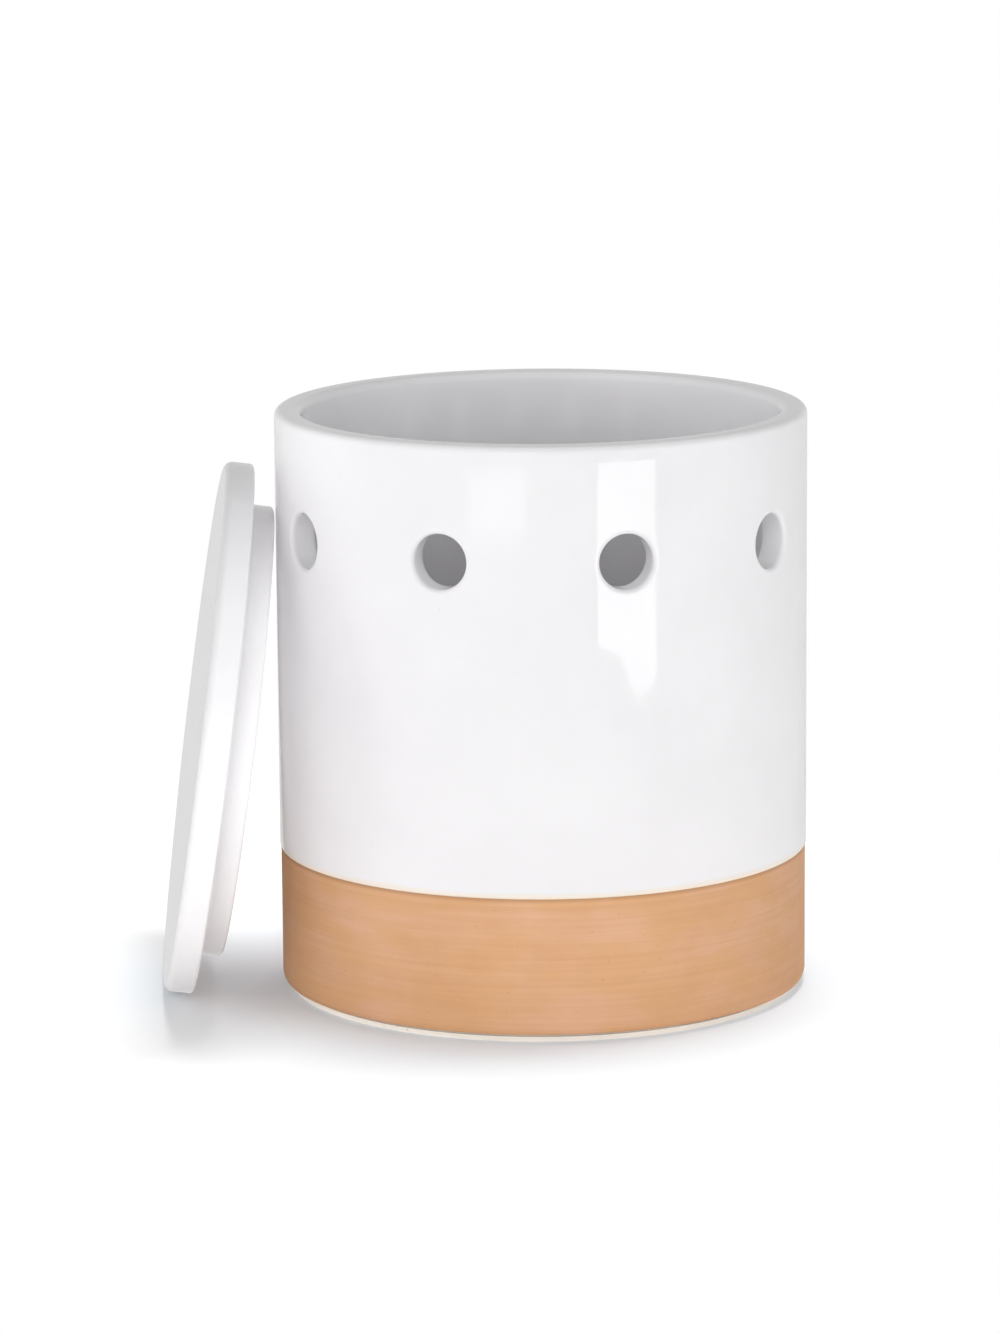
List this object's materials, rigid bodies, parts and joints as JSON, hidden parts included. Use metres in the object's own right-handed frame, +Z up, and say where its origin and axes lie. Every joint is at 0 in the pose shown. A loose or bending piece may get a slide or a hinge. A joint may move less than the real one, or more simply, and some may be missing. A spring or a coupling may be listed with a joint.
{
  "type": "garlic keeper",
  "caption": "Round white-glazed ceramic garlic keeper with a ring of vent holes, a terracotta band round its foot and a flat plug lid leaning on its side.",
  "frame": {"origin": "centre of the jar's foot, on the table", "axes": "+Z up along the jar's axis, -Y towards the front, +X to the right; the lid leans at -X"},
  "size_m": [0.1664, 0.1412, 0.149],
  "materials": {
    "bare_clay": "matt fired cream clay",
    "white_glaze": "glossy white glaze",
    "terracotta_slip": "satin terracotta slip with turning marks"
  },
  "bodies": {
    "jar": {"jar_body": "bare_clay", "jar_glaze": "white_glaze", "clay_band": "terracotta_slip"},
    "lid": {"lid": "white_glaze"}
  },
  "joints": [
    {"name": "lid_lift", "type": "slide", "parent": "jar", "child": "lid", "axis": [0, 0, 1], "range_m": [0, 0.16]}
  ]
}
